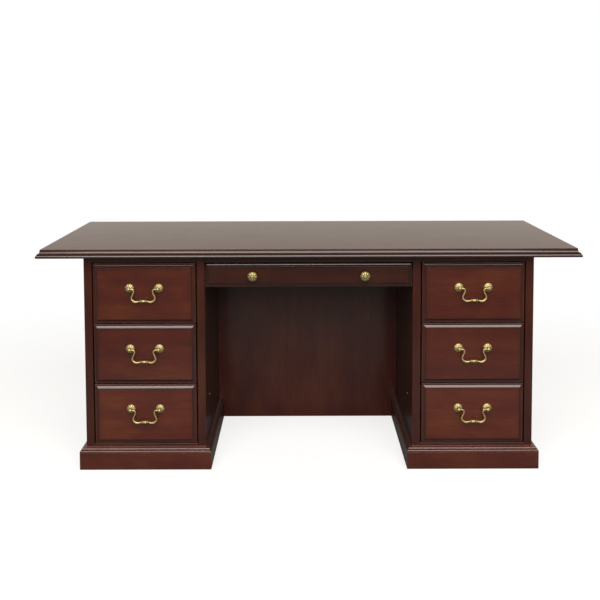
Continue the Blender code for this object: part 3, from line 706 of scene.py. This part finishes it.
def eye_ring(pivot_height):
    """Ball with a bore: its section about the pin is an arc of the ball closed by the bore's wall."""
    start = math.asin(EYE_BORE / EYE_RADIUS)
    arc = np.linspace(start, np.pi - start, EYE_ROWS)[:, None]
    turn = full_turn(EYE_SIDES)
    reach = EYE_RADIUS * np.sin(arc)
    across, out, up = EYE_RADIUS * np.cos(arc), reach * np.cos(turn), reach * np.sin(turn)
    grid = np.stack(np.broadcast_arrays(across, out, pivot_height + up), axis=-1)
    points = grid.reshape(-1, 3)
    return points, grid_faces(EYE_ROWS, EYE_SIDES, wrap_rows=True), np.zeros(len(points))


BRASS = antique_brass()
HINGES = [joint for joint in frame["joints"] if joint["type"] == "hinge"]
for joint in HINGES:
    drawer = joint["parent"]
    pivot = np.array(joint["pos_m"])
    for end in SIDES:
        low, high = np.array(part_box(f"{drawer}_{end}_post"))
        seat = np.array(((low[0] + high[0]) / 2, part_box(f"{drawer}_front")[0][1], pivot[2]))
        points, faces, patina = joined(rosette_and_neck(), eye_ring(seat[1] - pivot[1]))
        points = points @ LEVEL_STICK + seat
        piece = mesh_piece(f"{drawer}_{end}_rosette", points, faces, recess=patina, weld=True)
        dress(piece, BRASS, "antique_brass", drawer, f"{drawer}_{end}_post")


# Bail handles: cast and bent brass rods. Each end is a pin in an eye, curls in to a slim neck, swings
# out and round to the grip, and thickens there to two swells and a turned barrel between collars.

BAIL_KNOTS = np.array([  # way in from the eye, height over it, and radius of the rod
    (-0.0032, 0.0, 0.0021),
    (0.0070, 0.0, 0.0021),
    (0.0118, -0.0004, 0.0024),
    (0.0158, -0.0026, 0.0024),
    (0.0175, -0.0072, 0.0023),
    (0.0160, -0.0142, 0.0022),
    (0.0122, -0.0220, 0.0022),
    (0.0100, -0.0288, 0.0024),
    (0.0110, -0.0346, 0.0028),
    (0.0150, -0.0396, 0.0033),
    (0.0208, -0.0427, 0.0036),
    (0.0268, -0.0433, 0.0033),
    (0.0322, -0.0421, 0.0026),
    (0.0366, -0.0411, 0.0019),
    (0.0410, -0.0409, 0.0020),
    (0.0454, -0.0409, 0.0020),
])
GRIP_BAND = 0.004  # height over the middle of the grip up to which it is turned
BARREL = (0.0070, 0.0024)  # half its length, and how far it swells
COLLAR_PLACE = 0.0096
COLLAR = (0.0017, 0.0036)
NOTCH_PLACE = 0.0034  # from the collar
NOTCH_PATINA = (0.0008, 0.5)  # half width and depth
SPAN_STEPS = 10
ROD_SIDES = 20


def smooth_path(knots):
    """Cubic Hermite curve through the knots, whose slope at a knot is half the step between its
    neighbours: every span is h00 p + h10 m + h01 q + h11 n over a common set of steps."""
    slope = np.gradient(knots, axis=0)
    way = np.linspace(0, 1, SPAN_STEPS, endpoint=False)[None, :, None]
    start, end = knots[:-1, None, :], knots[1:, None, :]
    leave, arrive = slope[:-1, None, :], slope[1:, None, :]
    curve = (2 * way**3 - 3 * way**2 + 1) * start + (way**3 - 2 * way**2 + way) * leave
    curve = curve + (3 * way**2 - 2 * way**3) * end + (way**3 - way**2) * arrive
    return np.concatenate((curve.reshape(-1, knots.shape[1]), knots[-1:]))


def bail_rod(half_span):
    """Round rod on a plane path of (across, up, radius): the ring at each path point lies in the
    plane of the path's normal and of c, and turned swells at the grip are added to its radius."""
    half = BAIL_KNOTS * [-1, 1, 1] + [half_span, 0, 0]
    middle = np.array([(0.0, half[-1, 1], half[-1, 2])])
    path = smooth_path(np.concatenate((half, middle, half[::-1] * [-1, 1, 1])))
    across, up, radius = path.T
    near = np.abs(across)
    on_grip = up < half[-1, 1] + GRIP_BAND
    barrel = BARREL[1] * np.sqrt(np.clip(1 - (near / BARREL[0]) ** 2, 0, None))
    collar = COLLAR[1] * np.exp(-(((near - COLLAR_PLACE) / COLLAR[0]) ** 2))
    radius = radius + (barrel + collar) * on_grip
    radius[[0, -1]] = 0
    off_notch = np.abs(near - COLLAR_PLACE) - NOTCH_PLACE
    patina = NOTCH_PATINA[1] * on_grip * np.exp(-((off_notch / NOTCH_PATINA[0]) ** 2))
    heading = np.gradient(path[:, :2], axis=0)
    heading = heading / np.linalg.norm(heading, axis=1, keepdims=True)
    turn = full_turn(ROD_SIDES)
    side = radius[:, None] * np.cos(turn)
    ring = (
        across[:, None] - heading[:, 1:] * side,
        up[:, None] + heading[:, :1] * side,
        radius[:, None] * np.sin(turn),
    )
    grid = np.stack(ring, axis=-1)
    return grid.reshape(-1, 3), grid_faces(*grid.shape[:2]), np.repeat(patina, ROD_SIDES)


for joint in HINGES:
    drawer, bail = joint["parent"], joint["child"]
    left_post, right_post = (np.mean(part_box(f"{drawer}_{end}_post"), axis=0) for end in SIDES)
    points, faces, patina = bail_rod((right_post[0] - left_post[0]) / 2)
    points = points @ LEVEL_STICK + np.array(joint["pos_m"])
    piece = mesh_piece(f"{bail}_handle", points, faces, recess=patina, weld=True)
    dress(piece, BRASS, "antique_brass", bail, f"{drawer}_bail")


# Kneehole: a level rail over the centre drawer, a modesty panel let in between the pedestals, and
# two small caps over the screws that hold it. The rail and panel keep their shape from the frame and
# take darker copies of the finish, painted shade of the kneehole.

# The rail and panel are painted darker, the panel greyer too, as shade in the kneehole.
RAIL_PAINTED_SHADE = 0.50
PANEL_PAINTED_SHADE = (0.72, 0.78, 1.0)
LEVEL_GRAIN = 0
COVER_MOTTLE = {"Scale": 900.0, "Detail": 2.0}
COVER_STOPS = [(0.4, (0.14, 0.075, 0.05)), (0.6, (0.19, 0.10, 0.065))]
COVER_ROUGHNESS = 0.4


def moulded_cap():
    """Brown plastic with a faint moulded mottle."""
    material, tree, shader = new_finish("brown cover cap")
    place = add_node(tree, "ShaderNodeTexCoord").outputs["Object"]
    speck = add_node(tree, "ShaderNodeTexNoise", {"Vector": place, **COVER_MOTTLE}).outputs["Fac"]
    tree.links.new(colour_ramp(tree, speck, COVER_STOPS), shader.inputs["Base Color"])
    shader.inputs["Roughness"].default_value = COVER_ROUGHNESS
    return material


COVER_CAP = moulded_cap()
refinish("kneehole_rail", lacquered_mahogany("kneehole rail mahogany", LEVEL_GRAIN, RAIL_PAINTED_SHADE))
refinish("modesty_panel", lacquered_mahogany("modesty panel mahogany", UPRIGHT_GRAIN, PANEL_PAINTED_SHADE))
for side in SIDES:
    refinish(f"kneehole_{side}_cover_cap", COVER_CAP)


# Knobs of the centre drawer: cast brass on a waisted stem, with a flower in low relief on the
# domed head. Each is held by a screw from inside the drawer.

KNOB_RADIUS = 0.0168
KNOB_RIM = 0.016
KNOB_CROWN = 0.010
KNOB_ROWS = 40
KNOB_PETALS = 8
KNOB_RELIEF = 0.0011
PETAL_START = (0.24, 0.1)  # way out at which the petals begin, and over which they rise
PETAL_END = (0.88, 0.12)
PETAL_FULLNESS = 1.5
BUTTON_GROOVE = (0.25, 0.045)  # way out and half width, as for the rim
RIM_GROOVE = (0.9, 0.03)
KNOB_STEM = np.array([  # radius and height, from the head to the foot
    (0.0150, 0.0146),
    (0.0080, 0.0118),
    (0.0060, 0.0095),
    (0.0062, 0.0065),
    (0.0088, 0.0040),
    (0.0090, 0.0012),
    (0.0086, 0.0),
    (0.0, 0.0),
])
FLOWER_PATINA = (0.25, 0.7)  # all over, and more in the grooves
STEM_PATINA = 0.4


def ring_groove(way, place, half_width):
    """Round groove whose depth is exp(-((way - place) / half width)^2)."""
    return np.exp(-(((way - place) / half_width) ** 2))


def flower_knob():
    """Head whose height falls as the cosine of the way out, with petals that swell as
    |cos(petals turn / 2)| between a round button and a plain rim, on a stem and a foot."""
    turn = full_turn(AROUND)
    way = np.linspace(0, 1, KNOB_ROWS)[:, None]
    valley = 1 - np.abs(np.cos(KNOB_PETALS * turn / 2))
    rising = np.clip((way - PETAL_START[0]) / PETAL_START[1], 0, 1)
    falling = np.clip((PETAL_END[0] - way) / PETAL_END[1], 0, 1)
    groove = valley**PETAL_FULLNESS * (rising * falling)
    groove = groove + ring_groove(way, *BUTTON_GROOVE) + ring_groove(way, *RIM_GROOVE)
    head_radius = KNOB_RADIUS * np.sin(way * np.pi / 2) + 0 * turn
    head_height = KNOB_RIM + KNOB_CROWN * np.cos(way * np.pi / 2) - KNOB_RELIEF * groove
    stem_radius, stem_height = (np.repeat(column[:, None], AROUND, axis=1) for column in KNOB_STEM.T)
    radius = np.concatenate((head_radius, stem_radius))
    height = np.concatenate((head_height, stem_height))
    patina = np.full(height.shape, STEM_PATINA)
    patina[:KNOB_ROWS] = FLOWER_PATINA[0] + FLOWER_PATINA[1] * groove
    return *turned_grid(radius, height, turn), np.clip(patina, 0, 1).ravel()


for end in SIDES:
    low, high = np.array(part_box(f"centre_drawer_{end}_knob"))
    middle = (low + high) / 2
    seat = np.array((middle[0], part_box("centre_drawer_front")[0][1], middle[2]))
    points, faces, patina = flower_knob()
    points = points @ LEVEL_STICK + seat
    piece = mesh_piece(f"centre_drawer_{end}_flower_knob", points, faces, recess=patina, weld=True)
    dress(piece, BRASS, "antique_brass", "centre_drawer", f"centre_drawer_{end}_knob")


# Studio: a pale paper floor that fades into a white room, two soft boxes in front of the desk, one
# above the other, and the camera, a little tilted and rolled. The room is bright behind the desk and
# dim in front of it, so that the lacquer stays dark.

WHITE = (1, 1, 1, 1)
ROOM_COLOUR = (1, 0.95, 0.85, 1)
ROOM_FRONT = 0.17
ROOM_BEHIND = 0.65
ROOM_GLOSS = 0.1  # added behind, for reflections
ROOM_TURN = (-0.25, 0.25)
FLOOR_REACH = (3.0, 2.2)
FLOOR_FADE = (0.45, 0.95)
FLOOR_LIT = (0.19, 0.19, 0.19, 1)
FLOOR_SEEN = (0.95, 0.95, 0.95, 1)
FLOOR_GLOW = 0.7
LAMP_COLOUR = (1.0, 0.96, 0.90)
CAMERA_PLACE = (-0.032, -2.683, 1.241)
CAMERA_TILT = math.radians(87)
CAMERA_ROLL = math.radians(0.17)
SENSOR_WIDTH = 36
FOCAL_PIXELS = 720
FRAME_PIXELS = 600
OPTICAL_AXIS = (298.8, 143.5)


def seen_by_camera(tree):
    """1 for the camera's rays, also through glass, and 0 for the rays that light the desk."""
    rays = add_node(tree, "ShaderNodeLightPath").outputs
    seen = {0: rays["Is Camera Ray"], 1: rays["Is Transmission Ray"]}
    return add_node(tree, "ShaderNodeMath", seen, operation="MAXIMUM").outputs[0]


def mix_shaders(tree, factor, first, second):
    """The first shader node where the factor is 0 and the second where it is 1."""
    return add_node(tree, "ShaderNodeMixShader", {0: factor, 1: first.outputs[0], 2: second.outputs[0]})


def soft_box(name, place, aim, width, height, radiance):
    """Area light at a place, turned to its aim: its power is pi times radiance times area."""
    light = bpy.data.lights.new(name, "AREA")
    light.shape = "RECTANGLE"
    light.size = width
    light.size_y = height
    light.energy = math.pi * radiance * width * height
    light.color = LAMP_COLOUR
    lamp = bpy.data.objects.new(name, light)
    lamp.location = place
    lamp.rotation_euler = (Vector(aim) - Vector(place)).to_track_quat("-Z", "Y").to_euler()
    lamp.visible_camera = False
    scene.collection.objects.link(lamp)


scene = bpy.context.scene
scene.view_settings.view_transform = "Standard"

world = bpy.data.worlds.new("white room")
world.use_nodes = True
scene.world = world
tree = world.node_tree
outward = add_node(tree, "ShaderNodeTexCoord").outputs["Generated"]
back = add_node(tree, "ShaderNodeSeparateXYZ", {0: outward}).outputs["Y"]
glossy = add_node(tree, "ShaderNodeLightPath").outputs["Is Glossy Ray"]
behind = {0: glossy, 1: ROOM_GLOSS, 2: ROOM_BEHIND}
behind = add_node(tree, "ShaderNodeMath", behind, operation="MULTIPLY_ADD").outputs[0]
wall_light = map_range(tree, back, ROOM_TURN, (ROOM_FRONT, behind), "SMOOTHSTEP")
room = add_node(tree, "ShaderNodeBackground", {"Color": ROOM_COLOUR, "Strength": wall_light})
backdrop = add_node(tree, "ShaderNodeBackground", {"Color": WHITE, "Strength": 1.0})
walls = mix_shaders(tree, seen_by_camera(tree), room, backdrop)
tree.links.new(walls.outputs[0], tree.nodes["World Output"].inputs["Surface"])

floor_mesh = bpy.data.meshes.new("floor")
floor_corners = (CORNER_SIGNS * FLOOR_REACH).tolist()
floor_mesh.from_pydata([(*corner, 0.0) for corner in floor_corners], [], [(0, 1, 2, 3)])
floor = bpy.data.objects.new("floor", floor_mesh)
scene.collection.objects.link(floor)
paper, tree, shader = new_finish("pale paper")
floor_mesh.materials.append(paper)
tree.nodes.remove(shader)
lit = add_node(tree, "ShaderNodeBsdfDiffuse", {"Color": FLOOR_LIT})
pale = add_node(tree, "ShaderNodeBsdfDiffuse", {"Color": FLOOR_SEEN})
glow = add_node(tree, "ShaderNodeEmission", {"Color": WHITE, "Strength": 1.0})
shown = mix_shaders(tree, FLOOR_GLOW, pale, glow)
sheet = mix_shaders(tree, seen_by_camera(tree), lit, shown)
place = add_node(tree, "ShaderNodeTexCoord").outputs["Object"]
spread = {"Vector": place, "Scale": (1 / FLOOR_REACH[0], 1 / FLOOR_REACH[1], 1)}
spread = add_node(tree, "ShaderNodeMapping", spread).outputs[0]
far = add_node(tree, "ShaderNodeVectorMath", {0: spread}, operation="LENGTH").outputs["Value"]
fade = map_range(tree, far, FLOOR_FADE, kind="SMOOTHSTEP")
faded = mix_shaders(tree, fade, sheet, add_node(tree, "ShaderNodeBsdfTransparent"))
tree.links.new(faded.outputs[0], tree.nodes["Material Output"].inputs["Surface"])

soft_box(
    "front soft box", place=(0.0, -3.3, 2.0), aim=(0, -0.27, 0.4), width=3.6, height=1.0, radiance=5.0
)
soft_box(
    "upper soft box", place=(0.1, -2.55, 3.37), aim=(0, -0.27, 0.45), width=4.8, height=2.4, radiance=5.7
)

camera = bpy.data.cameras.new("camera")
camera.sensor_width = SENSOR_WIDTH
camera.lens = SENSOR_WIDTH * FOCAL_PIXELS / FRAME_PIXELS
camera.shift_x = 0.5 - OPTICAL_AXIS[0] / FRAME_PIXELS
camera.shift_y = OPTICAL_AXIS[1] / FRAME_PIXELS - 0.5
eye = bpy.data.objects.new("camera", camera)
eye.location = CAMERA_PLACE
eye.rotation_euler = (CAMERA_TILT, CAMERA_ROLL, 0)
scene.collection.objects.link(eye)
scene.camera = eye
